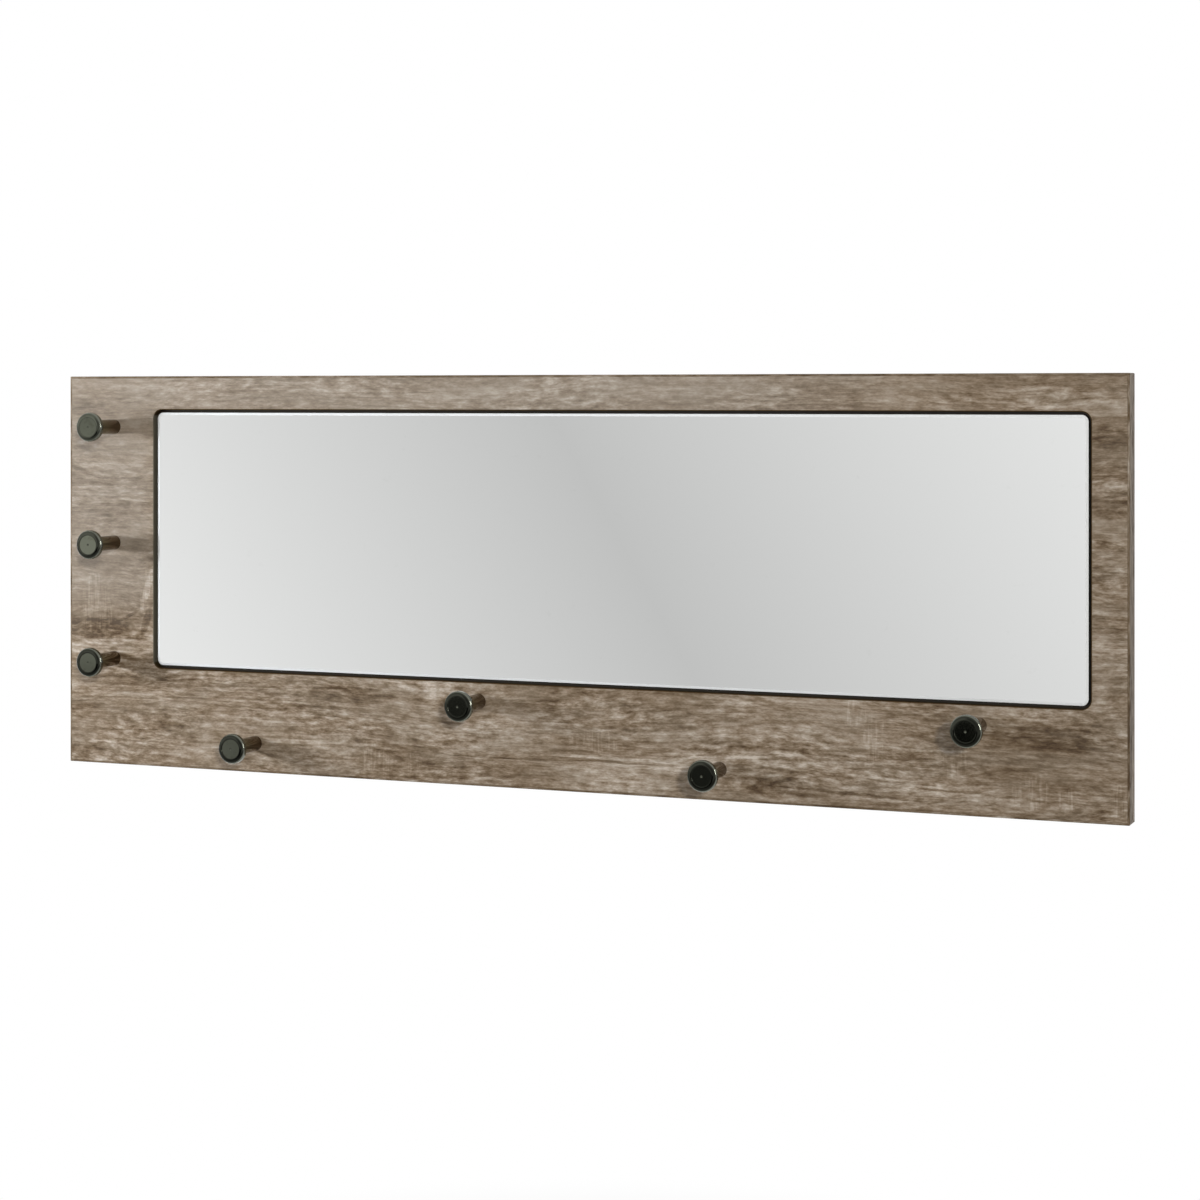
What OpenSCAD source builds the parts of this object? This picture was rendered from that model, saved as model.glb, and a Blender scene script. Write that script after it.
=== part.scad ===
// Wall panel with a recessed mirror and seven coat pegs.
//
// A thin decor board with a window lies on a full backing board, and one edge band covers both layers.
// The window's cut edge has its own dark edging, and the mirror is taped to the backing board inside it,
// with an even gap all round.
// Each peg is pulled against the decor face by a machine screw and a washer from behind.
// Two keyhole plates let into the back take the heads of two wall screws.
//
// +X is to the right as seen from the front, +Z is up, and the front looks along -Y.
// The origin is the centre of the back face, which lies on the wall.

/* [Panel] */
// Width of the whole panel
panel_w = 1100; // [1000:10:1400]
// Height of the whole panel
panel_h = 400; // [380:10:600]
// Thickness of the decor board that has the mirror window
front_board_t = 8; // [7:0.5:12]
// Thickness of the full backing board
back_board_t = 15; // [15:1:22]
// Thickness of the edge band
band_t = 2; // [1:0.5:3]
// Rounding of the panel's outer edges, limited by the edge band
edge_round = 1.2; // [0.4:0.2:2.8]

/* [Mirror window] */
// Width of wood to the left of the window, where three pegs stand
margin_left = 100; // [90:5:160]
// Width of wood to the right of the window
margin_right = 33.5; // [24:0.5:80]
// Width of wood above the window
margin_top = 33.5; // [24:0.5:80]
// Width of wood below the window, where four pegs stand
margin_bottom = 100; // [95:5:160]
// Corner radius of the window, left by the cutter
window_r = 10; // [6:0.5:25]
// Thickness of the dark edging on the window's cut edge
edging_t = 0.8; // [0.4:0.1:2]

/* [Mirror] */
// Open gap between the window's edging and the mirror
mirror_gap = 3; // [1.5:0.1:5]
// Thickness of the glass
glass_t = 3.8; // [2.8:0.1:4.8]
// Thickness of the silver and its protective paint
silver_t = 0.2; // [0.1:0.05:0.4]
// Width of the ground bevel around the glass
bevel_w = 2.4; // [0.5:0.1:6]
// Depth of the ground bevel, out of the glass
bevel_d = 0.8; // [0.3:0.1:2.4]

/* [Mirror tape] */
// Thickness of the double-sided foam tape
tape_t = 1.4; // [0.8:0.1:2]
// Width of one tape strip
tape_w = 19; // [10:1:30]
// Distance from the mirror's left and right edges to the ends of the strips
tape_end_inset = 30; // [10:5:80]
// Distance from the mirror's top and bottom edges to the outer strips
tape_side_inset = 26; // [10:1:60]
// Number of tape strips
tape_count = 3; // [2:1:5]

/* [Pegs] */
// Distance that a peg stands out from the decor face
peg_reach = 50; // [34:1:70]
// Diameter of the round head
peg_head_d = 29.5; // [28:0.5:40]
// Thickness of the head at its rim
peg_head_t = 7; // [4.5:0.5:9]
// Diameter of the stem
peg_stem_d = 15; // [10:0.5:17]
// Radius of the hollow curve from the stem into the back of the head
peg_neck_r = 4.5; // [1:0.5:5]
// Width of the oval crown that runs from the head's side to its flat front
peg_crown_w = 4.5; // [1:0.1:6]
// Depth of the oval crown
peg_crown_d = 3; // [0.5:0.1:3]
// Rounding of the head's back edge
peg_rim_back_r = 1.2; // [0.3:0.1:1.4]
// Diameter of the slightly sunk disc on the head
peg_disc_d = 20; // [14:0.2:24]
// Depth of the sunk disc
peg_disc_depth = 0.3; // [0.1:0.1:0.6]
// Diameter of the turning centre in the middle of the disc
peg_dimple_d = 2.4; // [1:0.2:4]
// Depth of the turning centre
peg_dimple_depth = 0.5; // [0.2:0.1:1.2]
// Chamfer around the foot of the stem
peg_foot_chamfer = 0.6; // [0.2:0.1:1.2]

/* [Peg places] */
// Distance from the panel's left edge to the column of pegs
column_from_left = 54; // [35:1:70]
// Distance from the panel's top edge to the highest peg of the column
column_from_top = 52; // [30:1:80]
// Step from peg to peg in the column
column_step = 119.5; // [80:0.5:130]
// Distance from the panel's left edge to the first peg of the bottom row
row_from_left = 220; // [150:5:260]
// Step from peg to peg along the bottom row
row_step = 248; // [120:1:260]
// Height of the first and third peg of the row above the panel's bottom edge
row_low = 29.5; // [22:0.5:50]
// Height of the second and fourth peg of the row above the panel's bottom edge
row_high = 82.5; // [50:0.5:90]

/* [Peg screws] */
// Thread diameter of the screw in each peg
screw_d = 4; // [3:0.5:5]
// Length of thread inside the peg
screw_grip = 9; // [6:0.5:14]
// Diameter of the pan head
screw_head_d = 8; // [6:0.5:9]
// Height of the pan head
screw_head_h = 2.8; // [2:0.1:3.4]
// Diameter of the washer
washer_d = 12; // [9.5:0.5:13]
// Thickness of the washer
washer_t = 1; // [0.5:0.1:1.5]
// Diameter of the counterbore in the back
counterbore_d = 14; // [13.5:0.5:18]
// Depth of the counterbore in the back
counterbore_depth = 5; // [4:0.5:8]

/* [Wall hangers] */
// Distance between the two keyhole plates
hanger_spacing = 800; // [300:10:900]
// Distance from the panel's top edge to the middle of the plates
hanger_from_top = 60; // [40:1:100]
// Width of a keyhole plate
hanger_w = 20; // [18:1:30]
// Height of a keyhole plate
hanger_h = 60; // [56:1:80]
// Thickness of a keyhole plate
hanger_t = 2; // [1.5:0.1:3]
// Diameter of the round entry for the wall screw's head
keyhole_d = 10; // [8:0.5:12]
// Width of the slot that holds the wall screw's shank
keyhole_slot_w = 5; // [4:0.1:6]
// Height from the entry's middle to the shank's seat in the slot
keyhole_rise = 10; // [8:0.5:12]
// Depth of the pocket for the wall screw's head, behind the plate
head_pocket_depth = 7; // [4:0.5:9]
// Distance between the plate's two wood screws
plate_screw_spacing = 46; // [42:1:50]
// Diameter of the plate's wood screws
plate_screw_d = 3.5; // [3:0.1:4]
// Diameter of the countersunk heads of those screws
plate_screw_head_d = 7; // [6:0.1:8]
// Length of those screws
plate_screw_length = 14; // [10:0.5:14.5]

/* [Clearances] */
// Radial room of the screws' holes through the boards
through_clear = 0.25; // [0.1:0.05:0.5]
// Radial room of a thread in the hole that it is cut in
thread_clear = 0.05; // [0.02:0.01:0.1]
// Room around a keyhole plate in its recess
plate_clear = 0.2; // [0.1:0.05:0.5]
// Room between a countersunk head and its seat
head_clear = 0.08; // [0.04:0.02:0.2]
// Spare depth of a pilot hole beyond the screw's tip
pilot_spare = 0.5; // [0.2:0.1:1]
// Spare depth of a peg's tapped hole beyond the screw's end
peg_bore_spare = 2; // [1:0.5:5]

/* [Hidden] */
$fn = 64;
// Steps in a quarter turn of the peg's outline
ARC_STEPS = 6;
// Facets of a full turn on the bevelled glass
BEVEL_FN = 48;
// Extra length of a cut beyond the surface that it opens
THROUGH = 1;

board_t = front_board_t + back_board_t;
front_y = -board_t;
layer_y = -back_board_t;
// The rounding leaves this share of the band's thickness flat
BAND_FLAT = 0.1;
edge_r = min(edge_round, (1 - BAND_FLAT) * band_t);

core_w = panel_w - 2 * band_t;
core_h = panel_h - 2 * band_t;

window_w = panel_w - margin_left - margin_right;
window_h = panel_h - margin_top - margin_bottom;
window_x = (margin_left - margin_right) / 2;
window_z = (margin_bottom - margin_top) / 2;

// A corner of the glass is never ground sharper than this radius
LEAST_CORNER_R = 0.5;
edging_w = window_w - 2 * edging_t;
edging_h = window_h - 2 * edging_t;
edging_r = max(window_r - edging_t, LEAST_CORNER_R);
mirror_w = edging_w - 2 * mirror_gap;
mirror_h = edging_h - 2 * mirror_gap;
mirror_r = max(edging_r - mirror_gap, LEAST_CORNER_R);
silver_y = layer_y - tape_t;
glass_y = silver_y - silver_t;

tape_length = mirror_w - 2 * tape_end_inset;
tape_span = mirror_h - 2 * tape_side_inset - tape_w;

peg_stem_r = peg_stem_d / 2;
peg_head_r = peg_head_d / 2;
peg_bore_r = screw_d / 2 + thread_clear;
peg_bore_depth = screw_grip + peg_bore_spare;

COLUMN_PEGS = 3;
ROW_PEGS = 4;
function column_place(i) = [
    column_from_left - panel_w / 2,
    panel_h / 2 - column_from_top - i * column_step
];
function row_place(i) = [
    row_from_left - panel_w / 2 + i * row_step,
    (i % 2 == 0 ? row_low : row_high) - panel_h / 2
];
peg_places = concat(
    [for (i = [0:COLUMN_PEGS - 1]) column_place(i)],
    [for (i = [0:ROW_PEGS - 1]) row_place(i)]
);

washer_y = -counterbore_depth;
screw_seat_y = washer_y + washer_t;
// Share of the pan head's height that is a straight wall, and of its radius that is flat on top
PAN_WALL = 0.45;
PAN_FLAT = 0.7;
// Cross recess of every screw: share of the head's width, width of an arm, and depth
RECESS_SPAN = 0.55;
RECESS_W = 0.9;
RECESS_DEPTH = 1.4;

hanger_z = panel_h / 2 - hanger_from_top;
// The entry and the seat lie evenly about the plate's middle
entry_dz = -keyhole_rise / 2;
seat_dz = keyhole_rise / 2;
// The head's pocket is wider than the entry by this much on each side
POCKET_ROOM = 1.5;
// Straight wall between a countersunk head's cone and the far face of the plate
SEAT_LAND = 0.3;
// Length of a wood screw's point
SCREW_TIP = 3;

// ---- Shapes that several pieces share ----

// A slab of the drawn outline, from y_back towards the front
module slab(y_back, thickness) {
    translate([0, y_back, 0])
        rotate([90, 0, 0])
            linear_extrude(height = thickness)
                children();
}

// A turned shape: the outline's second coordinate runs from y_back towards the front
module turned(place, y_back) {
    translate([place[0], y_back, place[1]])
        rotate([90, 0, 0])
            rotate_extrude()
                children();
}

// A round hole or rod at a place of the panel, from y_back towards the front
module rod(place, y_back, length, d) {
    translate([place[0], y_back, place[1]])
        rotate([90, 0, 0])
            cylinder(h = length, d = d);
}

module rounded_rect(w, h, r) {
    square([w - 2 * r, h], center = true);
    square([w, h - 2 * r], center = true);
    for (x = [-1, 1], z = [-1, 1])
        translate([x * (w / 2 - r), z * (h / 2 - r)])
            circle(r);
}

// An upright slot outline with round ends, whose end centres lie at z0 and z1
module upright_slot(w, z0, z1) {
    translate([-w / 2, z0])
        square([w, z1 - z0]);
    for (z = [z0, z1])
        translate([0, z])
            circle(d = w);
}

// Points of an oval arc about a centre, whose half widths are [across, along]
function oval_arc(centre, half, a0, a1) = [
    for (i = [0:ARC_STEPS])
        let (a = a0 + (a1 - a0) * i / ARC_STEPS)
        [centre[0] + half[0] * cos(a), centre[1] + half[1] * sin(a)]
];

// Points of a round arc about a centre
function arc(centre, r, a0, a1) = oval_arc(centre, [r, r], a0, a1);

// ---- Boards ----

module window_outline(w, h, r) {
    translate([window_x, window_z])
        rounded_rect(w, h, r);
}

module front_board() {
    color([0.60, 0.53, 0.45])
        difference() {
            slab(layer_y, front_board_t)
                square([core_w, core_h], center = true);
            slab(layer_y + THROUGH, front_board_t + 2 * THROUGH)
                window_outline(window_w, window_h, window_r);
            for (place = peg_places)
                rod(place, layer_y + THROUGH, front_board_t + 2 * THROUGH, screw_d + 2 * through_clear);
        }
}

module back_board() {
    color([0.08, 0.08, 0.08])
        difference() {
            slab(0, back_board_t)
                square([core_w, core_h], center = true);
            for (place = peg_places) {
                rod(place, THROUGH, back_board_t + 2 * THROUGH, screw_d + 2 * through_clear);
                rod(place, THROUGH, counterbore_depth + THROUGH, counterbore_d);
            }
            for (side = [-1, 1])
                at_hanger(side)
                    hanger_recess();
        }
}

// A closed strip that lines the window's cut edge, from the decor face to the backing board
module window_edging() {
    color([0.07, 0.065, 0.06])
        slab(layer_y, front_board_t)
            difference() {
                window_outline(window_w, window_h, window_r);
                window_outline(edging_w, edging_h, edging_r);
            }
}

// ---- Edge bands ----

// The whole panel with its outer edges rounded, from which the bands are cut
module rounded_panel() {
    intersection() {
        linear_extrude(height = panel_h, center = true)
            translate([0, front_y / 2])
                rounded_rect(panel_w, board_t, edge_r);
        rotate([90, 0, 90])
            linear_extrude(height = panel_w, center = true)
                translate([front_y / 2, 0])
                    rounded_rect(board_t, panel_h, edge_r);
        slab(0, board_t)
            rounded_rect(panel_w, panel_h, edge_r);
    }
}

// The long bands run over the ends of the short ones
module long_band(side) {
    color([0.55, 0.49, 0.42])
        intersection() {
            rounded_panel();
            translate([-panel_w / 2, front_y, side * (core_h + band_t) / 2 - band_t / 2])
                cube([panel_w, board_t, band_t]);
        }
}

module short_band(side) {
    color([0.50, 0.45, 0.39])
        intersection() {
            rounded_panel();
            translate([side * (core_w + band_t) / 2 - band_t / 2, front_y, -core_h / 2])
                cube([band_t, board_t, core_h]);
        }
}

module edge_band_top() {
    long_band(1);
}

module edge_band_bottom() {
    long_band(-1);
}

module edge_band_left() {
    short_band(-1);
}

module edge_band_right() {
    short_band(1);
}

// ---- Mirror ----

module mirror_glass() {
    color([0.82, 0.84, 0.85])
        hull() {
            slab(glass_y, glass_t - bevel_d)
                window_outline(mirror_w, mirror_h, mirror_r, $fn = BEVEL_FN);
            slab(glass_y, glass_t)
                window_outline(
                    mirror_w - 2 * bevel_w, mirror_h - 2 * bevel_w,
                    max(mirror_r - bevel_w, LEAST_CORNER_R), $fn = BEVEL_FN
                );
        }
}

module mirror_silver_coat() {
    color([0.75, 0.76, 0.78])
        slab(silver_y, silver_t)
            window_outline(mirror_w, mirror_h, mirror_r);
}

module mirror_tape_strips() {
    color([0.15, 0.15, 0.15])
        for (i = [0:tape_count - 1])
            slab(layer_y, tape_t)
                translate([window_x, window_z + tape_span * (i / (tape_count - 1) - 0.5)])
                    square([tape_length, tape_w], center = true);
}

// ---- Pegs ----

// Half outline of a peg: radius, then distance from the decor face
module peg_outline() {
    neck_s = peg_reach - peg_head_t - peg_neck_r;
    flat_r = peg_head_r - peg_crown_w;
    disc_r = min(peg_disc_d / 2, flat_r);
    polygon(concat(
        [
            [peg_bore_r, 0],
            [peg_stem_r - peg_foot_chamfer, 0],
            [peg_stem_r, peg_foot_chamfer]
        ],
        arc([peg_stem_r + peg_neck_r, neck_s], peg_neck_r, 180, 90),
        arc([peg_head_r - peg_rim_back_r, peg_reach - peg_head_t + peg_rim_back_r], peg_rim_back_r, -90, 0),
        oval_arc([flat_r, peg_reach - peg_crown_d], [peg_crown_w, peg_crown_d], 0, 90),
        [
            [disc_r, peg_reach],
            [disc_r - peg_disc_depth, peg_reach - peg_disc_depth],
            [peg_dimple_d / 2, peg_reach - peg_disc_depth],
            [0, peg_reach - peg_disc_depth - peg_dimple_depth],
            [0, peg_bore_depth],
            [peg_bore_r, peg_bore_depth]
        ]
    ));
}

module peg(place) {
    color([0.17, 0.17, 0.15])
        turned(place, front_y)
            peg_outline();
}

module peg_left_upper() {
    peg(column_place(0));
}

module peg_left_middle() {
    peg(column_place(1));
}

module peg_left_lower() {
    peg(column_place(2));
}

module peg_bottom_1() {
    peg(row_place(0));
}

module peg_bottom_2() {
    peg(row_place(1));
}

module peg_bottom_3() {
    peg(row_place(2));
}

module peg_bottom_4() {
    peg(row_place(3));
}

// ---- Peg screws and washers ----

// A cross recess in a screw head, cut from its free end at y_face towards the front
module cross_recess(place, y_face, width) {
    for (turn = [0, 90])
        translate([place[0], y_face, place[1]])
            rotate([0, turn, 0])
                translate([-width / 2, -RECESS_DEPTH, -RECESS_W / 2])
                    cube([width, RECESS_DEPTH + THROUGH, RECESS_W]);
}

module peg_screw(place) {
    head_y = screw_seat_y + screw_head_h;
    head_r = screw_head_d / 2;
    tip_y = front_y - screw_grip;
    difference() {
        turned(place, head_y)
            polygon([
                [0, 0],
                [head_r * PAN_FLAT, 0],
                [head_r, screw_head_h * (1 - PAN_WALL)],
                [head_r, screw_head_h],
                [screw_d / 2, screw_head_h],
                [screw_d / 2, head_y - tip_y],
                [0, head_y - tip_y]
            ]);
        cross_recess(place, head_y, screw_head_d * RECESS_SPAN);
    }
}

module peg_screws() {
    color([0.72, 0.72, 0.70])
        for (place = peg_places)
            peg_screw(place);
}

module peg_washers() {
    color([0.70, 0.70, 0.68])
        for (place = peg_places)
            difference() {
                rod(place, screw_seat_y, washer_t, washer_d);
                rod(place, screw_seat_y + THROUGH, washer_t + 2 * THROUGH, screw_d + 2 * through_clear);
            }
}

// ---- Wall hangers ----

module at_hanger(side) {
    translate([side * hanger_spacing / 2, 0, hanger_z])
        children();
}

module plate_outline(room) {
    end_z = (hanger_h - hanger_w) / 2;
    upright_slot(hanger_w + 2 * room, -end_z, end_z);
}

// What the back board gives up for one plate: its seat, the wall screw's pocket and two pilot holes
module hanger_recess() {
    slab(THROUGH, hanger_t + THROUGH)
        plate_outline(plate_clear);
    slab(-hanger_t + THROUGH, head_pocket_depth + THROUGH)
        upright_slot(keyhole_d + 2 * POCKET_ROOM, entry_dz, seat_dz);
    for (end = [-1, 1])
        rod(
            [0, end * plate_screw_spacing / 2], THROUGH,
            plate_screw_length + pilot_spare + THROUGH, plate_screw_d + 2 * thread_clear
        );
}

module hanger_plate(side) {
    seat_d = plate_screw_head_d + 2 * head_clear;
    hole_d = plate_screw_d + 2 * head_clear;
    color([0.74, 0.74, 0.72])
        at_hanger(side)
            difference() {
                slab(0, hanger_t)
                    plate_outline(0);
                slab(THROUGH, hanger_t + 2 * THROUGH)
                    upright_slot(keyhole_slot_w, entry_dz, seat_dz);
                rod([0, entry_dz], THROUGH, hanger_t + 2 * THROUGH, keyhole_d);
                for (end = [-1, 1])
                    turned([0, end * plate_screw_spacing / 2], THROUGH)
                        polygon([
                            [0, 0],
                            [seat_d / 2, 0],
                            [seat_d / 2, THROUGH],
                            [hole_d / 2, THROUGH + hanger_t - SEAT_LAND],
                            [hole_d / 2, hanger_t + 2 * THROUGH],
                            [0, hanger_t + 2 * THROUGH]
                        ]);
            }
}

module hanger_plate_left() {
    hanger_plate(-1);
}

module hanger_plate_right() {
    hanger_plate(1);
}

module plate_screw(place) {
    head_r = plate_screw_head_d / 2;
    shank_r = plate_screw_d / 2;
    difference() {
        turned(place, 0)
            polygon([
                [0, head_clear],
                [head_r - head_clear, head_clear],
                [shank_r, hanger_t - SEAT_LAND],
                [shank_r, plate_screw_length - SCREW_TIP],
                [0, plate_screw_length]
            ]);
        cross_recess(place, -head_clear, plate_screw_head_d * RECESS_SPAN);
    }
}

module hanger_plate_screws() {
    color([0.80, 0.72, 0.50])
        for (side = [-1, 1], end = [-1, 1])
            at_hanger(side)
                plate_screw([0, end * plate_screw_spacing / 2]);
}

front_board();
back_board();
window_edging();
edge_band_top();
edge_band_bottom();
edge_band_left();
edge_band_right();
mirror_glass();
mirror_silver_coat();
mirror_tape_strips();
peg_left_upper();
peg_left_middle();
peg_left_lower();
peg_bottom_1();
peg_bottom_2();
peg_bottom_3();
peg_bottom_4();
peg_screws();
peg_washers();
hanger_plate_left();
hanger_plate_right();
hanger_plate_screws();
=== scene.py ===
# %% [markdown]
# # A wall panel with a recessed mirror and coat pegs
#
# The panel is a thin decor board with a window, glued on a full black board, with one edge band round
# both. A mirror lies in the window, and seven black nickel pegs are screwed on from behind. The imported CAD
# model already holds every piece at its real size. This lesson gives each piece its finish, and swaps the
# pegs and the glass for finer surfaces of the same shape. Lengths are in metres unless a name ends in MM,
# and finishes are worked out in millimetres, because that is the scale of pores and scratches.

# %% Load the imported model
import math

import bpy
import numpy as np
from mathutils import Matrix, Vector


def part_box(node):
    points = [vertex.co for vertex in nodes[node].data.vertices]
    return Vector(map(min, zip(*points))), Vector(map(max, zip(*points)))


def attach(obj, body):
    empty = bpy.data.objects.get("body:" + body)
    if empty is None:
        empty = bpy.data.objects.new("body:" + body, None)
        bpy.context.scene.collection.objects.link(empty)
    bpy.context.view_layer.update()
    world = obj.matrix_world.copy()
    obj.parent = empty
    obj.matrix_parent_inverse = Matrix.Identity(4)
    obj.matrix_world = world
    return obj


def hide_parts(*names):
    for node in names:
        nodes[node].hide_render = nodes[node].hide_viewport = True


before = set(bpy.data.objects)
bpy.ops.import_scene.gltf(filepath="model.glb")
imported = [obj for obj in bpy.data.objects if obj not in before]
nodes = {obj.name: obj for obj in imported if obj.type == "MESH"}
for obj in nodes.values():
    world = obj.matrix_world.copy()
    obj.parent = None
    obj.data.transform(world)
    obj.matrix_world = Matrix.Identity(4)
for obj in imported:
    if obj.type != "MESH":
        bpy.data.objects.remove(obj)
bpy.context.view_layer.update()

MM_PER_M = 1000
MM = 1 / MM_PER_M

# %% [markdown]
# ## The camera
#
# The photo was taken with a long lens from the right of the panel, level, at the height of its top edge.
# The panel's upright edges stay upright in it, so the camera looks straight ahead and its frame is shifted
# down, as an architect's shift lens does, and isn't tilted. Tilting the camera would be easier to set up,
# but then the upright edges would lean together.

# %% Place the camera
PHOTO_PX = 1200
FOCAL_PX = 2616
HORIZON_PX = 397.7
SENSOR_MM = 36
CAMERA_PLACE = (0.9867, -2.3369, 0.178)
CAMERA_TURN = math.radians(22.14)


def place_camera():
    """A level camera, turned about the upright axis. A shifted frame puts the horizon at its height."""
    lens = bpy.data.cameras.new("photo_camera")
    lens.sensor_width = SENSOR_MM
    lens.lens = FOCAL_PX / PHOTO_PX * SENSOR_MM
    lens.shift_y = (HORIZON_PX - PHOTO_PX / 2) / PHOTO_PX
    camera = bpy.data.objects.new("photo_camera", lens)
    camera.location = CAMERA_PLACE
    camera.rotation_euler = (math.pi / 2, 0, CAMERA_TURN)
    bpy.context.scene.collection.objects.link(camera)
    bpy.context.scene.camera = camera
    return lens


lens = place_camera()
print("focal length", round(lens.lens, 1), "mm, shift", round(lens.shift_y, 3))

# %% [markdown]
# ## Shader sums as Python expressions
#
# A finish is a recipe of small sums: streaks times a mask, one minus that mask, and so on. Wiring Math
# nodes by hand hides those sums, so a Wire stands for one output of a node, and arithmetic on it adds the
# Math node that does it. Colours and vectors never go through Math nodes, which would turn them grey: they
# have their own Mix and Vector Math calls.

# %% The Wire and the Recipe
SMOOTH = {"interpolation_type": "SMOOTHSTEP"}


class Wire:
    """One shader output. Each operator adds a Math node and gives that node's output back."""

    def __init__(self, recipe, socket):
        self.recipe, self.socket = recipe, socket

    def __add__(self, other):
        return self.recipe.math("ADD", self, other)

    def __radd__(self, other):
        return self.recipe.math("ADD", other, self)

    def __sub__(self, other):
        return self.recipe.math("SUBTRACT", self, other)

    def __rsub__(self, other):
        return self.recipe.math("SUBTRACT", other, self)

    def __mul__(self, other):
        return self.recipe.math("MULTIPLY", self, other)

    def __rmul__(self, other):
        return self.recipe.math("MULTIPLY", other, self)

    def __truediv__(self, other):
        return self.recipe.math("DIVIDE", self, other)


class Recipe:
    """The node tree of one finish, a fresh material unless a tree is given."""

    def __init__(self, name, tree=None):
        self.material = None
        if tree is None:
            self.material = bpy.data.materials.new(name)
            self.material.use_nodes = True
            tree = self.material.node_tree
        self.tree = tree
        tree.nodes.clear()

    def add(self, kind, settings=None, sockets=None, output=0):
        """Any node: its type, then its settings, then a value or Wire for each socket, by name or number.

        A ramp's stops are a setting too: a list of (place, colour), lowest first."""
        made = self.tree.nodes.new(kind)
        for name, value in (settings or {}).items():
            if name == "stops":
                self.set_stops(made.color_ramp.elements, value)
            else:
                setattr(made, name, value)
        for key, value in (sockets or {}).items():
            if isinstance(value, Wire):
                self.tree.links.new(value.socket, made.inputs[key])
            else:
                made.inputs[key].default_value = value
        return Wire(self, made.outputs[output]) if len(made.outputs) else made

    def set_stops(self, elements, stops):
        """A new ramp has two stops, at 0 and 1. They become the outer ones, and the rest go between."""
        for place, colour in stops[1:-1]:
            elements.new(place).color = colour
        for element, (place, colour) in ((elements[0], stops[0]), (elements[len(stops) - 1], stops[-1])):
            element.position, element.color = place, colour

    def math(self, operation, *values):
        return self.add("ShaderNodeMath", {"operation": operation}, dict(enumerate(values)))

    def vector(self, operation, *values):
        return self.add("ShaderNodeVectorMath", {"operation": operation}, dict(enumerate(values)))

    def joined(self, x, y, z):
        return self.add("ShaderNodeCombineXYZ", None, {"X": x, "Y": y, "Z": z})

    def parts(self, vector):
        """The three numbers of a vector."""
        x = self.add("ShaderNodeSeparateXYZ", None, {"Vector": vector})
        return [Wire(self, output) for output in x.socket.node.outputs]

    def step(self, value, low, high):
        """0 below low, 1 above high, and a soft rise between. With low above high it falls."""
        return self.add("ShaderNodeMapRange", SMOOTH, {"Value": value, "From Min": low, "From Max": high})

    def mixed(self, share, first, second):
        """Colour first where share is 0, and second where it is 1."""
        return self.add("ShaderNodeMix", {"data_type": "RGBA"}, {0: share, 6: first, 7: second}, output=2)

    def noise(self, place, size, detail=2.0, rough=0.5, seed=0.0):
        """Soft noise about 0.5, whose blobs are size = (x, y, z) long in the units of place."""
        scaled = self.vector("MULTIPLY_ADD", place, [1 / s for s in size], (seed, 1.7 * seed, 2.3 * seed))
        sockets = {"Vector": scaled, "Scale": 1.0, "Detail": detail, "Roughness": rough}
        return self.add("ShaderNodeTexNoise", None, sockets)

    def place_mm(self):
        """The point on the piece in millimetres. Every piece's object sits at the origin, so that is its
        real place."""
        place = self.add("ShaderNodeTexCoord", output=3)
        return self.vector("MULTIPLY", place, (MM_PER_M, MM_PER_M, MM_PER_M))

    def bump(self, height_mm, strength=1.0):
        """A normal that follows a height given in millimetres."""
        sockets = {"Strength": strength, "Distance": MM, "Height": height_mm}
        return self.add("ShaderNodeBump", None, sockets)

    def finish(self, **sockets):
        """The Principled shader on the material's output. Sockets go by name, with _ for each space."""
        named = {key.replace("_", " "): value for key, value in sockets.items()}
        shader = self.add("ShaderNodeBsdfPrincipled", None, named)
        self.add("ShaderNodeOutputMaterial", None, {"Surface": shader})
        return self.material


def paint(red, green, blue):
    """A colour picked as 0 to 255 screen values, as the linear values that a shader takes."""
    screen = (red / 255, green / 255, blue / 255)
    return (*(c / 12.92 if c <= 0.04045 else ((c + 0.055) / 1.055) ** 2.4 for c in screen), 1.0)


print("mid oak in linear light:", [round(c, 3) for c in paint(150, 134, 117)[:3]])

# %% [markdown]
# ## The printed oak
#
# The decor is a photo print of grey-brown oak on melamine, pressed with a matching grain. It has no rings
# that run through the board, only a picture on its face, so it could be an image. Noise does as well and
# has no pixels: the trick is to stretch each noise along the grain, and to bend them all with one slow
# drift, so that dashes, threads and bands wander together as fibres do. The dashes are what the eye takes
# for oak: short dark strokes in wavy rows some 5 mm apart.

# %% Rows of dashes, threads, bands and clouds
OAK_STOPS = [
    (0.0, paint(70, 51, 31)),
    (0.25, paint(104, 85, 63)),
    (0.5, paint(138, 120, 99)),
    (0.75, paint(172, 157, 140)),
    (1.0, paint(204, 192, 178)),
]
GREYED_OAK = paint(132, 124, 110)
RAMP_SPREAD = 0.8
DRIFT_MM, SWAY_MM = 30, 4
LEAST_LIVELY, MORE_LIVELY = 0.55, 0.7
ROWS, THREADS, FINE, CLOUDS = 2.1, 0.9, 0.6, 0.7


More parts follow.
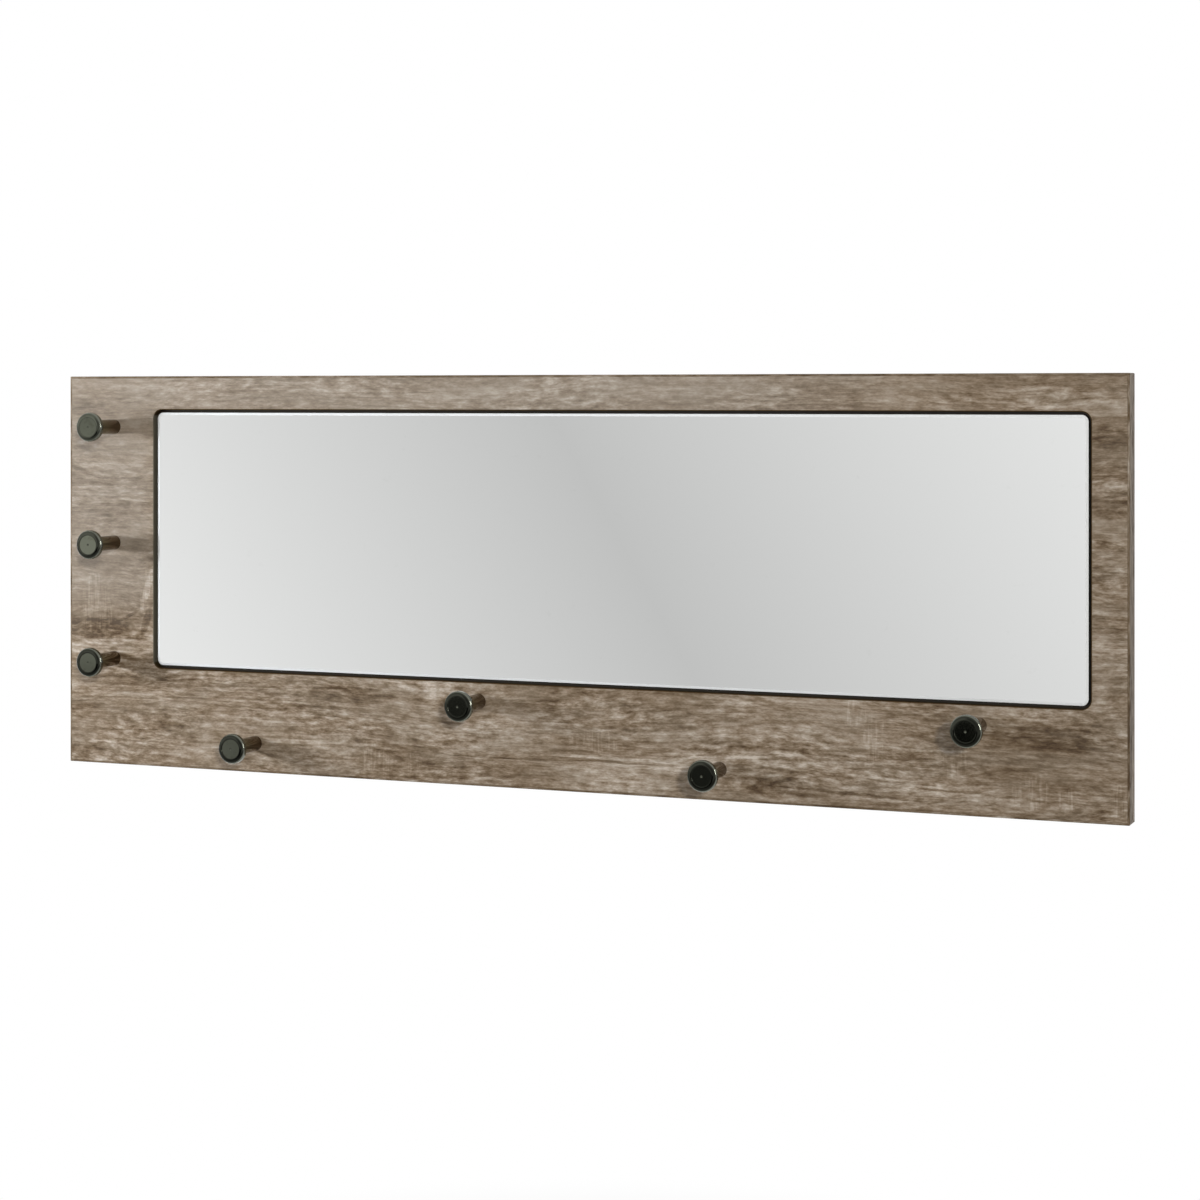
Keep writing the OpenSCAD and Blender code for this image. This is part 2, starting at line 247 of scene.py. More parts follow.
def oak_tone(r, along, across, depth):
    """The fine and the broad changes of the print's tone, each about 0, and the share of open pores.

    along, across and depth are the point in millimetres, seen from the grain. A fibre's level is its place
    across the grain plus a slow drift and a quicker sway, so all that reads the level bends alike."""
    raw = r.joined(along, depth, across)
    drift = (r.noise(raw, (330, 90, 80), 1, seed=3.1) - 0.5) * DRIFT_MM
    sway = (r.noise(raw, (46, 40, 13), 1, seed=8.7) - 0.5) * SWAY_MM
    level = across + drift + sway
    fibre = r.joined(along, depth, level)
    bands = r.noise(fibre, (190, 60, 15), 3, 0.55, seed=1.3) - 0.5
    clouds = r.noise(raw, (95, 60, 38), 2, seed=5.4) - 0.5
    rows = r.noise(fibre, (16, 9, 4.6), 3, 0.62, seed=6.8) - 0.5
    threads = r.noise(fibre, (55, 9, 2.4), 3, 0.6, seed=2.2) - 0.5
    fine = r.noise(fibre, (4, 4, 1.3), 2, 0.6, seed=11.5) - 0.5
    lively = LEAST_LIVELY + MORE_LIVELY * r.step(r.noise(raw, (120, 60, 45), 1, seed=9.6), 0.3, 0.65)
    pores = r.step(rows, -0.04, -0.16) * lively
    detail = rows * lively * ROWS + threads * THREADS + fine * FINE
    return detail, bands + clouds * CLOUDS, pores


def oak_colour(r, tone, place):
    """The printed browns on a ramp of the tone, greyed a little in slow clouds. The ramp is wider than the
    usual run of tones, so the darkest and palest dashes still have something left to differ in."""
    browns = r.add("ShaderNodeValToRGB", {"stops": OAK_STOPS}, {"Fac": 0.5 + (tone - 0.5) * RAMP_SPREAD})
    greyer = r.step(r.noise(place, (60, 40, 16), 2, seed=12.9), 0.4, 0.68)
    return r.mixed(greyer * 0.16, browns, GREYED_OAK)


print("oak:", len(OAK_STOPS), "browns, fibres that drift", DRIFT_MM / 2, "mm up or down at most")

# %% [markdown]
# ## Saw marks and drawn strokes
#
# The print imitates rough sawn boards: here and there a band saw left short pale scratches across the
# grain. They are noise squeezed the other way, tall and thin, and shown only in soft oval patches. A few
# long growth lines, a feather and some darker dashes stand out of the pattern, and noise never puts one
# where it belongs. Those are drawn one by one: each is a long thin oval, laid over the tone before it
# becomes
# a colour. A few wide faint ovals make a whole area a little paler or darker in the same way, as painted
# light and shade where the light falls unevenly across the board.

# %% Patches and strokes
SAW_PATCHES_MM = [
    # middle x and z, half width, half height
    (-522, -36, 16, 34), (-507, -46, 9, 28), (-456, -22, 9, 30), (-202, -176, 12, 18),
    (-183, -180, 12, 14), (-152, -182, 8, 14), (300, -110, 12, 16), (314, -136, 8, 24),
    (392, -154, 14, 14), (462, -176, 18, 16), (492, -182, 10, 12), (540, -180, 10, 14),
    (40, -150, 30, 10),
]
STROKES_MM = [
    # middle x and z, half length, half width, rise per mm, change of tone
    (-300, -166, 62, 3.0, 0.0, 0.14), (60, -165.5, 78, 2.0, -0.01, 0.18),
    (62, -169.5, 56, 1.3, -0.01, -0.2), (-70, -171, 66, 1.0, 0.0, -0.2),
    (-150, -163, 40, 2.0, -0.02, 0.1), (195, -156, 72, 4.0, 0.1, 0.12), (212, -182, 40, 6.0, 0.42, -0.12),
    (240, -174, 34, 2.4, 0.3, -0.12), (300, -186, 90, 1.4, -0.04, -0.12),
    (440, -181, 110, 1.3, -0.05, -0.14), (330, -172, 60, 1.4, -0.08, 0.1),
    (-222, -116, 54, 7.0, 0.0, -0.1), (-120, -140, 30, 3.0, 0.0, -0.1), (95, -134, 56, 6.0, 0.03, -0.12),
    (486, -127, 72, 12, -0.02, -0.14), (-20, -120, 30, 7.0, 0.2, -0.1), (-490, 95, 32, 1.3, 0.01, -0.16),
    (-504, 76, 42, 1.2, 0.0, -0.13), (-495, 108, 44, 2.6, 0.0, 0.08), (-500, 86, 42, 2.0, 0.02, 0.1),
    (-516, -60, 46, 12, 0.02, -0.24), (-486, -50, 24, 2.2, 0.5, -0.16), (-474, -69, 24, 2.6, 0.04, -0.18),
    (-457, -18, 26, 4.6, 3.2, 0.15), (-458, -52, 18, 5, 3.0, -0.16), (-522, -178, 34, 1.2, 0.0, 0.16),
    (-470, -164, 60, 1.1, 0.03, -0.14), (-530, 168, 14, 1.3, 0.0, -0.16),
    (-440, -106, 32, 6.0, -0.12, -0.13), (-180, 183, 60, 1.4, 0.0, -0.14), (459, 184, 44, 6.0, 0.0, 0.1),
    (533, 142, 20, 13, 0.0, -0.14), (533, 100, 18, 8, 0.0, 0.1), (533, 75, 18, 5, 0.0, -0.14),
    # The last seven ovals, wide and faint, are painted light and shade over whole areas.
    (533, 46, 18, 3.0, -0.3, -0.16), (-500, -85, 50, 3.0, 0.0, 0.1), (533, 110, 34, 70, 0.0, -0.045),
    (470, -150, 90, 30, 0.0, -0.045), (-420, 185, 160, 20, 0.0, 0.03), (40, 185, 210, 22, 0.0, 0.055),
    (-500, -48, 60, 45, 0.0, -0.05), (35, -150, 120, 50, 0.0, 0.028), (533, -45, 40, 75, 0.0, 0.028),
]
SAW_TONE, SAW_SOLID, SAW_RAGGED_MM = 0.18, 1.6, 26
STROKE_TONE, WAVER_MM = 1.5, 5.0
AT_ONCE = 3


def soft_ovals(r, x, z, ovals):
    """The sum of soft ovals: each adds its change times 2 (1 - u^2 - v^2), held between 0 and 1.

    u and v run from 0 at the oval's middle to 1 at its edge, along it and across it. Three ovals are
    worked out at once, as the three numbers of a vector, because a finish holds only so many numbers."""
    x_thrice, z_thrice = r.joined(x, x, x), r.joined(z, z, z)
    total = 0.0
    for start in range(0, len(ovals), AT_ONCE):
        trio = ovals[start:start + AT_ONCE]
        trio = np.array(trio + [(0, 0, 1, 1, 0, 0)] * (AT_ONCE - len(trio)), float)
        middle_x, middle_z, half_l, half_w, rise, change = trio.T
        cosine, sine = 1 / np.hypot(1, rise), rise / np.hypot(1, rise)
        squares = (0.0, 0.0, 0.0)
        for per_x, per_z in ((cosine / half_l, sine / half_l), (-sine / half_w, cosine / half_w)):
            offset = tuple(-(per_x * middle_x + per_z * middle_z))
            along = r.vector("MULTIPLY_ADD", x_thrice, tuple(per_x), offset)
            along = r.vector("MULTIPLY_ADD", z_thrice, tuple(per_z), along)
            squares = r.vector("MULTIPLY_ADD", along, along, squares)
        inside = r.vector("MULTIPLY_ADD", squares, (-2.0, -2.0, -2.0), (2.0, 2.0, 2.0))
        inside = r.vector("MINIMUM", r.vector("MAXIMUM", inside, (0.0, 0.0, 0.0)), (1.0, 1.0, 1.0))
        weighed = {0: inside, 1: tuple(change)}
        total = total + r.add("ShaderNodeVectorMath", {"operation": "DOT_PRODUCT"}, weighed, output=1)
    return total


def saw_marks(r, place, x, z):
    """Where a saw mark shows: tall thin noise, times one soft ragged oval per patch."""
    ragged = (r.noise(place, (14, 20, 18), 2, seed=7.9) - 0.5) * SAW_RAGGED_MM
    upright = [(*patch, 0.0, SAW_SOLID) for patch in SAW_PATCHES_MM]
    patches = r.math("MINIMUM", soft_ovals(r, x + ragged, z + ragged, upright), 1.0)
    return patches * r.step(r.noise(place, (2.2, 20, 26), 2, 0.6, seed=4.4), 0.42, 0.66)


def drawn_strokes(r, place, x, z):
    """The sum of the strokes' tones. Each wavers with the fibres and is stronger here than there."""
    waver = (r.noise(place, (38, 40, 16), 2, seed=2.9) - 0.5) * WAVER_MM
    broken = r.step(r.noise(place, (9, 9, 3.2), 2, 0.6, seed=10.4), 0.3, 0.6) * 0.8 + 0.6
    return soft_ovals(r, x, z + waver, STROKES_MM) * broken * STROKE_TONE


print("drawn by hand:", len(SAW_PATCHES_MM), "patches of saw marks and", len(STROKES_MM), "strokes")

# %% [markdown]
# The print isn't the same all over. Left of the mirror and along the top its pattern is calm, and below the
# mirror it is at its liveliest. The calm areas also get a paler, greyer brown, which is painted sheen where
# the light glances off the face. Two or three prints could be laid edge to edge, but soft masks over one
# print leave no seam. A thin dark line runs round the edge, where the band is glued on.

# %% The face of the decor board
GLUE_LINE_MM = 0.7
CALM_LEFT_MM, PALE_ABOVE_MM, RICH_BELOW_MM = -450, 145, -105
CALM_FROM_MM, CALM_FULL_MM = -70, -10
PALE_ENDS_MM, PALE_FULL_MM = 440, 120
CALM_SOFT_MM, AREA_SOFT_MM = 20, 15
PATTERN, LESS_CALM, LESS_ABOVE, MORE_BELOW = 0.94, 0.25, 0.12, 0.04
PALE_QUIETS, SHEEN_SHARE, GLUE_SHARE = 0.25, 0.26, 0.6
SHEEN_OAK, GLUE = paint(157, 152, 144), paint(84, 66, 46)


def oak_face():
    """The oak print with its marks, its calm areas under a painted sheen, and the glue line at the edge
    band.
    """
    r = Recipe("oak_face")
    place = r.place_mm()
    x, y, z = r.parts(place)
    detail, broad, pores = oak_tone(r, x, z, y)
    at_left = r.step(x, CALM_LEFT_MM + CALM_SOFT_MM, CALM_LEFT_MM - CALM_SOFT_MM)
    calm = at_left * r.step(z, CALM_FROM_MM, CALM_FULL_MM)
    above = r.step(z, PALE_ABOVE_MM - AREA_SOFT_MM, PALE_ABOVE_MM + AREA_SOFT_MM)
    pale = r.math("MAXIMUM", calm, above * r.step(x, PALE_ENDS_MM, PALE_FULL_MM))
    rich = r.step(z, RICH_BELOW_MM + AREA_SOFT_MM, RICH_BELOW_MM - AREA_SOFT_MM)
    marks = saw_marks(r, place, x, z)
    liveliness = PATTERN - calm * LESS_CALM - above * LESS_ABOVE + rich * MORE_BELOW
    pattern = detail * liveliness + broad * (1.0 - pale * PALE_QUIETS)
    tone = 0.5 + pattern + marks * SAW_TONE + drawn_strokes(r, place, x, z)
    low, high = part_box("front_board")
    from_side = (high.x - low.x) / 2 * MM_PER_M - r.math("ABSOLUTE", x)
    from_end = (high.z - low.z) / 2 * MM_PER_M - r.math("ABSOLUTE", z)
    glued = r.step(r.math("MINIMUM", from_side, from_end), GLUE_LINE_MM, 0.0)
    # The calm and top areas are painted paler and greyer: painted sheen where the light glances off the
    # face.
    colour = r.mixed(pale * SHEEN_SHARE, oak_colour(r, tone, place), SHEEN_OAK)
    colour = r.mixed(glued * GLUE_SHARE, colour, GLUE)
    height = (tone - 0.5) * 0.05 - pores * 0.04 + marks * 0.02
    return r.finish(Base_Color=colour, Roughness=0.34 + pores * 0.15, Normal=r.bump(height, 0.4))


def dress(names, material):
    """Give CAD nodes their finish, and leave their shape alone."""
    for name in names:
        nodes[name].material_slots[0].material = material
    print(material.name, "on", ", ".join(names))


dress(["front_board"], oak_face())

# %% [markdown]
# The edge bands are plastic strips with the same print, glued round the board's edges and softly rounded.
# Their print is painted darker and more brown than the face's, as painted shade for the sides and lower lip
# that turn away from the light, and the plastic is duller. The face's own finish could go on them, but its
# grain would cross the short bands, so this recipe is told which way a band runs.

# %% The edge bands
BAND_SHADED_TONE, BAND_SHADE_BROWN = 0.33, paint(94, 82, 65)


def oak_band(name, along, across):
    """The same print on a band of plastic: its grain runs along the band and over its soft edges."""
    r = Recipe(name)
    place = r.place_mm()
    axes = dict(zip("xyz", r.parts(place)))
    detail, broad, pores = oak_tone(r, axes[along], axes["y"] + axes[across], axes[across])
    # The tone is set below the face's and mixed toward brown: painted shade for the turned-away sides and
    # lip.
    colour = r.mixed(0.3, oak_colour(r, detail + broad + BAND_SHADED_TONE, place), BAND_SHADE_BROWN)
    height = detail * 0.05 - pores * 0.04
    return r.finish(
        Base_Color=colour, Roughness=0.5 + pores * 0.2, Specular_IOR_Level=0.25, Normal=r.bump(height, 0.5)
    )


dress(["edge_band_top", "edge_band_bottom"], oak_band("oak_band_long", "x", "z"))
dress(["edge_band_left", "edge_band_right"], oak_band("oak_band_short", "z", "x"))

# %% [markdown]
# ## The black board and the dark edging
#
# The backing board is chipboard between two sheets of warm black melamine. The sheets have a fine pearl,
# and the counterbores and pockets cut through them show the pale chips. Two materials would need every
# face of every hole picked out, so one material shows the chips wherever the surface lies deeper than the
# sheet.

# %% Black melamine over chipboard
SHEET_MM = 0.3
FLAKES_PER_MM = (0.5, 1.4, 0.5)


def black_board():
    """Black melamine on the two faces, and chips (a voronoi of flat flakes) anywhere between them."""
    r = Recipe("black_board")
    place = r.place_mm()
    x, y, z = r.parts(place)
    low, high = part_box("back_board")
    face = low.y * MM_PER_M
    inside = r.step(y, -SHEET_MM * 0.6, -SHEET_MM) * r.step(y, face + SHEET_MM * 0.6, face + SHEET_MM)
    packed = r.vector("MULTIPLY", place, FLAKES_PER_MM)
    flakes = r.add("ShaderNodeTexVoronoi", None, {"Vector": packed, "Scale": 1.0}, output=1)
    flake_tone = r.parts(flakes)[0]
    wood = r.mixed(flake_tone, paint(146, 112, 76), paint(205, 176, 134))
    bark = r.step(r.noise(place, (1.2, 0.6, 1.2), 3, seed=7.7), 0.5, 0.62)
    wood = r.mixed(bark * 0.5, wood, paint(92, 66, 42))
    pearl = r.noise(place, (0.7, 0.7, 0.7), 2, seed=9.1)
    haze = r.noise(place, (90, 40, 70), 3, seed=2.8)
    sheet = r.mixed(haze, paint(35, 30, 22), paint(46, 40, 31))
    height = (pearl - 0.5) * 0.05 * (1 - inside) + (flake_tone - 0.5) * 0.35 * inside
    rough = (0.48 + (haze - 0.5) * 0.2) * (1 - inside) + 0.85 * inside
    return r.finish(Base_Color=r.mixed(inside, sheet, wood), Roughness=rough, Normal=r.bump(height, 0.6))


dress(["back_board"], black_board())

# %% [markdown]
# The cut edge of the window is lined with dark plastic. Plain near-black would do for its sides, which
# face the mirror and show mostly as a reflection of themselves. Its front edge is painted lighter and more
# brown, as painted light on the lip, and at the left it is painted grey, as painted light from the fill
# lamp that the left wall faces, so two soft masks lay those tones over the one colour.

# %% The edging of the window
LIT_LIP_MM = 0.5
LIT_WALL_MM = (2.0, 1.0)


def dark_edging():
    """Near-black plastic, faint cutter chatter, and painted light: a paler brown front edge, a grey left
    side.
    """
    r = Recipe("dark_edging")
    place = r.place_mm()
    x, y, z = r.parts(place)
    low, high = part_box("window_edging")
    left, face = low.x * MM_PER_M, low.y * MM_PER_M
    # Painted light: the front lip lighter and browner, and the left wall grey, as the fill lamp it faces
    # lights it.
    lit_lip = r.step(y, face + LIT_LIP_MM, face) * r.noise(place, (6, 6, 6), 3, seed=1.1)
    lit_wall = r.step(x, left + LIT_WALL_MM[0], left + LIT_WALL_MM[1])
    chatter = r.noise(place, (0.8, 30, 0.8), 1, seed=6.1)
    colour = r.mixed(lit_lip * 0.8, paint(50, 39, 22), paint(98, 77, 52))
    colour = r.mixed(lit_wall * 0.9, colour, paint(92, 88, 76))
    return r.finish(
        Base_Color=colour, Roughness=0.55 + chatter * 0.15, Specular_IOR_Level=0.06,
        Normal=r.bump((chatter - 0.5) * 0.04, 0.5),
    )


dress(["window_edging"], dark_edging())

# %% [markdown]
# ## Closed surfaces from rings
#
# The pegs are turned on a lathe and the glass is a rounded rectangle with a ground bevel. The CAD shapes
# are right but coarse, and a polished surface shows every facet. Smoothing the CAD meshes would be
# quicker, but their long thin triangles would still shade in streaks. Both pieces are a stack of rings
# with a point at each end, so one function makes both again, with rings that are many times finer.

# %% A skin over a stack of rings
SHARP_EDGE = math.radians(18)


def ring_skin(name, rings, first_point, last_point, face_kinds=None):
    """A closed mesh through rings[k, i] = point i of ring k, with a fan to a point at each end.

    Going round a ring, then on to the next, turns by the right hand about the outward normal. face_kinds
    gives the material number of each strip: first fan, strips in order, last fan."""
    count, around = rings.shape[:2]
    vertices = np.concatenate([rings.reshape(-1, 3), [first_point, last_point]])
    here = np.arange(count * around).reshape(count, around)
    ahead = np.roll(here, -1, axis=1)
    strips = np.stack([here[:-1], ahead[:-1], ahead[1:], here[1:]], axis=2)
    first_fan = np.stack([np.full(around, count * around), ahead[0], here[0]], axis=1)
    last_fan = np.stack([here[-1], ahead[-1], np.full(around, count * around + 1)], axis=1)
    bands = [first_fan, *strips, last_fan]
    mesh = bpy.data.meshes.new(name)
    mesh.from_pydata(vertices.tolist(), [], [face for band in bands for face in band.tolist()])
    kinds = np.zeros(len(bands), int) if face_kinds is None else np.array(face_kinds)
    mesh.polygons.foreach_set("material_index", np.repeat(kinds, around).astype(np.int32))
    mesh.polygons.foreach_set("use_smooth", np.ones(len(mesh.polygons), bool))
    mesh.set_sharp_from_angle(angle=SHARP_EDGE)
    mesh.validate()
    piece = bpy.data.objects.new(name, mesh)
    bpy.context.scene.collection.objects.link(piece)
    return piece


print("edges of more than", round(math.degrees(SHARP_EDGE)), "degrees stay sharp")

# %% [markdown]
# ## The pegs
#
# Each peg is one turned piece: a stem with a broken foot edge, a hollow neck and a mushroom head whose
# domed rim runs in to a slightly sunk disc with the lathe's centre mark. The outline is carried round the
# axis. Spin or Screw would do the same, but with the whole outline as an array every arc gets as many
# points as it needs. A guard ring lies close beside each end of the flat disc, so that smooth shading
# leaves the disc itself flat.

# %% The outline of a peg
HEAD_T, STEM_D, NECK_R = 0.007, 0.015, 0.0045
CROWN_W, CROWN_D, RIM_BACK_R = 0.0045, 0.003, 0.0012
DISC_D, DISC_DEPTH, DISC_EASE = 0.020, 0.0003, 0.00035
GUARD = 0.00005
DIMPLE_D, DIMPLE_DEPTH = 0.0024, 0.0005
FOOT_CHAMFER = 0.0006
BORE_R, BORE_DEPTH = 0.00205, 0.011
ARC_POINTS = 14
TURN_POINTS = 120


def oval_arc(centre_r, centre_s, half_r, half_s, start_deg, end_deg):
    """Points (r, s) on an oval: the centre plus the half sizes times (cosine, sine) of even angles."""
    angles = np.radians(np.linspace(start_deg, end_deg, ARC_POINTS))
    return np.stack([centre_r + half_r * np.cos(angles), centre_s + half_s * np.sin(angles)], axis=1)


def arc(centre_r, centre_s, radius, start_deg, end_deg):
    """A round arc is an oval one with both half sizes alike."""
    return oval_arc(centre_r, centre_s, radius, radius, start_deg, end_deg)


def eased(r0, s0, r1, s1):
    """A short S-shaped slope between two points: the share across is 3t^2 - 2t^3, flat at both ends."""
    t = np.linspace(0, 1, ARC_POINTS)
    return np.stack([r0 + (r1 - r0) * t, s0 + (s1 - s0) * t * t * (3 - 2 * t)], axis=1)


def peg_outline(reach, head_r):
    """Half a peg's section, as (radius, distance from the decor face), from bore to centre mark."""
    stem_r, disc_r = STEM_D / 2, DISC_D / 2
    sunk = reach - DISC_DEPTH
    return np.concatenate([
        [(BORE_R, BORE_DEPTH), (BORE_R, 0), (stem_r - FOOT_CHAMFER, 0), (stem_r, FOOT_CHAMFER)],
        arc(stem_r + NECK_R, reach - HEAD_T - NECK_R, NECK_R, 180, 90),
        arc(head_r - RIM_BACK_R, reach - HEAD_T + RIM_BACK_R, RIM_BACK_R, -90, 0),
        oval_arc(head_r - CROWN_W, reach - CROWN_D, CROWN_W, CROWN_D, 0, 90),
        eased(disc_r, reach, disc_r - DISC_EASE, sunk),
        [(disc_r - DISC_EASE - GUARD, sunk), (DIMPLE_D / 2 + GUARD, sunk)],
        eased(DIMPLE_D / 2, sunk, DIMPLE_D / 20, sunk - DIMPLE_DEPTH),
    ])


def peg_sizes(node):
    """How far a CAD peg stands out, and half the width of its head."""
    low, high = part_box(node)
    return high.y - low.y, (high.x - low.x) / 2


print("peg outline:", len(peg_outline(*peg_sizes("peg_left_upper"))), "points")

# %% [markdown]
# Black nickel is a dark, slightly green mirror. What makes it look like metal is what it reflects, so its
# own finish is quiet: a low roughness that wanders with handling, and turning rings that change the shine
# alone. A bump for the rings would be nearer to the lathe, but on a disc this small it draws a bright
# cross. Some reflections are painted into its colour as well. The domed rim is painted dark, a little less
# so on the upper pegs, as a painted reflection of the dark room, and its outermost edge is painted pale, as
# the lit wood that it mirrors at a graze. The stem is painted olive behind the head and brown at the board,
# a painted reflection of the wood, and the centre mark is painted darker, as shade in its hollow. Rings
# need each point's distance from its own peg's axis, which the mesh carries as an attribute.

# %% Black nickel
# The domed rim is painted dark as a painted reflection: where, in mm from the axis, and how dark, less on
# upper pegs.
DARK_RIM_MM = (9.4, 9.75, 13.4, 14.1)
DARK_RIM_SHARE, LESS_DARK_ABOVE = 0.82, 0.36
LOW_PEGS_MM, HIGH_PEGS_MM = -60.0, 150.0
BEHIND_HEAD_MM = 7.6
BROWN_FROM_MM, BROWN_FULL_MM = 6.0, 32.0
MARK_SHADE_MM = (1.5, 1.1)
SMOOTHNESS, WORN_ROUGHER, TURNED_ROUGHER = 0.032, 0.01, 0.02


def black_nickel():
    """A dark metal: turning rings from noise of the radius alone, a rim darkened as painted reflection,
    faint finger marks.
    """
    r = Recipe("black_nickel")
    place = r.place_mm()
    radius = r.add("ShaderNodeAttribute", {"attribute_name": "axis_distance_mm"}, output=2)
    turned = r.noise(r.joined(radius, 0.0, 0.0), (0.3, 1, 1), 2, 0.6, seed=3.3)
    handled = r.noise(place, (9, 9, 9), 3, 0.55, seed=5.9)
    worn = r.step(handled, 0.5, 0.7)
    x, y, z = r.parts(place)
    start, full, falling, end = DARK_RIM_MM
    # Painted reflection: the domed rim dark as the dark room it mirrors, less so on the upper pegs.
    dark_rim = r.step(radius, start, full) * r.step(radius, end, falling)
    colour = r.mixed(worn, paint(117, 120, 106), paint(108, 110, 96))
    plate = DARK_RIM_SHARE - LESS_DARK_ABOVE * r.step(z, LOW_PEGS_MM, HIGH_PEGS_MM)
    colour = r.mixed(dark_rim * plate, colour, paint(22, 22, 19))
    # Painted reflection: the rim's outermost edge pale, as the lit wood that it mirrors at a graze.
    colour = r.mixed(r.step(radius, falling, end + 0.2), colour, paint(112, 114, 104))
    low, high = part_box("peg_bottom_1")
    behind = low.y * MM_PER_M + BEHIND_HEAD_MM
    # Painted reflection of the wood: the stem olive behind the head and brown towards the board.
    browner = r.step(y, behind + BROWN_FROM_MM, behind + BROWN_FULL_MM)
    stem = r.mixed(browner, paint(122, 116, 94), paint(100, 80, 57))
    colour = r.mixed(r.step(y, behind - 1.0, behind) * 0.85, colour, stem)
    # Painted shade in the hollow of the centre mark.
    colour = r.mixed(r.step(radius, *MARK_SHADE_MM) * 0.3, colour, paint(22, 22, 19))
    rough = SMOOTHNESS + worn * WORN_ROUGHER + (turned - 0.5) * TURNED_ROUGHER
    return r.finish(Base_Color=colour, Metallic=1.0, Roughness=rough)


nickel = black_nickel()
print("black nickel:", len(nickel.node_tree.nodes), "shader nodes")

# %% [markdown]
# The seven pegs are alike, so one mesh could be used seven times. Each is turned at its own place all the
# same, from its own CAD box, so that a peg which is moved or made longer in the model keeps its skin.

# %% Turn the seven pegs
def turn_peg(node, material):
    """Carry the outline round one CAD peg's axis: x, z = centre + r (cos a, sin a), and y = face - s."""
    low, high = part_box(node)
    outline = peg_outline(*peg_sizes(node))
    angles = np.linspace(0, 2 * math.pi, TURN_POINTS, endpoint=False)
    radius, run = outline[:, :1], outline[:, 1:]
    middle_x, middle_z = (low.x + high.x) / 2, (low.z + high.z) / 2
    x = middle_x + radius * np.cos(angles)
    z = middle_z + radius * np.sin(angles)
    y = high.y - run + 0 * angles
    bottom = (middle_x, high.y - BORE_DEPTH, middle_z)
    tip = (middle_x, low.y + DISC_DEPTH + DIMPLE_DEPTH, middle_z)
    piece = ring_skin("turned_" + node, np.stack([x, y, z], axis=2), bottom, tip)
    distance = np.concatenate([np.repeat(outline[:, 0], TURN_POINTS), [0, 0]]) * MM_PER_M
    attribute = piece.data.attributes.new("axis_distance_mm", "FLOAT", "POINT")
    attribute.data.foreach_set("value", distance.astype(np.float32))
    piece.data.materials.append(material)
    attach(piece, "root")
    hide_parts(node)
    return piece


peg_names = [name for name in sorted(nodes) if name.startswith(("peg_left", "peg_bottom"))]
pegs = [turn_peg(name, nickel) for name in peg_names]
print("pegs:", len(pegs), "faces each:", len(pegs[0].data.polygons))

# %% [markdown]
# ## The mirror
#
# The mirror is a sheet of glass with rounded corners and a narrow ground bevel. A box with a Bevel
# modifier would have the same shape. Three rings and two points make it as easily, and they tell at once
# which faces are the face, the bevel and the cut edge, which each get a finish of their own.

# %% The glass with its ground bevel
BEVEL_W, BEVEL_D = 0.0024, 0.0008
GLASS_CORNER_R = 0.0062
CORNER_POINTS = 24


def rounded_outline(half_w, half_h, radius, inset):
    """A rounded rectangle, anticlockwise from the front: four quarter circles, drawn in by inset."""
    quarter = np.linspace(0, math.pi / 2, CORNER_POINTS)
    angles = np.concatenate([quarter + k * math.pi / 2 for k in range(4)])
    sides = np.repeat([(1, 1), (-1, 1), (-1, -1), (1, -1)], CORNER_POINTS, axis=0)
    x = sides[:, 0] * (half_w - radius) + (radius - inset) * np.cos(angles)
    z = sides[:, 1] * (half_h - radius) + (radius - inset) * np.sin(angles)
    return x, z


def grind_glass():
    """The glass as three rings: the back edge, the foot of the bevel, and the bevel's inner edge."""
    low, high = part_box("mirror_glass")
    middle_x, middle_z = (low.x + high.x) / 2, (low.z + high.z) / 2
    half_w, half_h = (high.x - low.x) / 2, (high.z - low.z) / 2
    rings = []
    for inset, y in ((0, high.y), (0, low.y + BEVEL_D), (BEVEL_W, low.y)):
        x, z = rounded_outline(half_w, half_h, GLASS_CORNER_R, inset)
        rings.append(np.stack([middle_x + x, np.full_like(x, y), middle_z + z], axis=1))
    back, front = (middle_x, high.y, middle_z), (middle_x, low.y, middle_z)
    return ring_skin("ground_mirror_glass", np.array(rings), back, front, face_kinds=[1, 1, 2, 0])


glass = grind_glass()
print("mirror faces:", len(glass.data.polygons))

# %% [markdown]
# A mirror is glass with silver behind it. It could be clear glass over a metal sheet, but every ray would
# then cross the glass twice for a picture that a plain metal surface gives at once, so the glass piece
# itself is the mirror. Its ground bevel is frosted, so it stays white whatever the mirror shows, which is
# the fine white line all round. Its cut edge is dark float glass, and its olive tone is partly a painted
# reflection of the brown lining that it faces.

# %% Silvered face, bevel and cut edge
def silvered_face():
    """Silver seen through clear glass: neutral, very slightly green, with the faintest wave and dust."""
    r = Recipe("silvered_face")
    place = r.place_mm()
    wave = r.noise(place, (160, 50, 120), 1, seed=2.6)
    dust = r.step(r.noise(place, (14, 14, 11), 4, 0.7, seed=7.2), 0.62, 0.8)
    colour = r.mixed(dust * 0.3, paint(243, 244, 243), paint(232, 233, 231))
    rough = 0.006 + dust * 0.02
    return r.finish(Base_Color=colour, Metallic=1.0, Roughness=rough, Normal=r.bump(wave * 0.01, 0.2))


def ground_bevel():
    """The ground bevel: frosted white with a little silver, and the fine lines that the wheel left."""
    r = Recipe("ground_bevel")
    wheel = r.noise(r.place_mm(), (0.5, 0.5, 0.5), 2, seed=4.9)
    colour = r.mixed(wheel, paint(251, 252, 252), paint(244, 247, 246))
    return r.finish(Base_Color=colour, Metallic=0.02 + wheel * 0.08, Roughness=0.4 + wheel * 0.1)


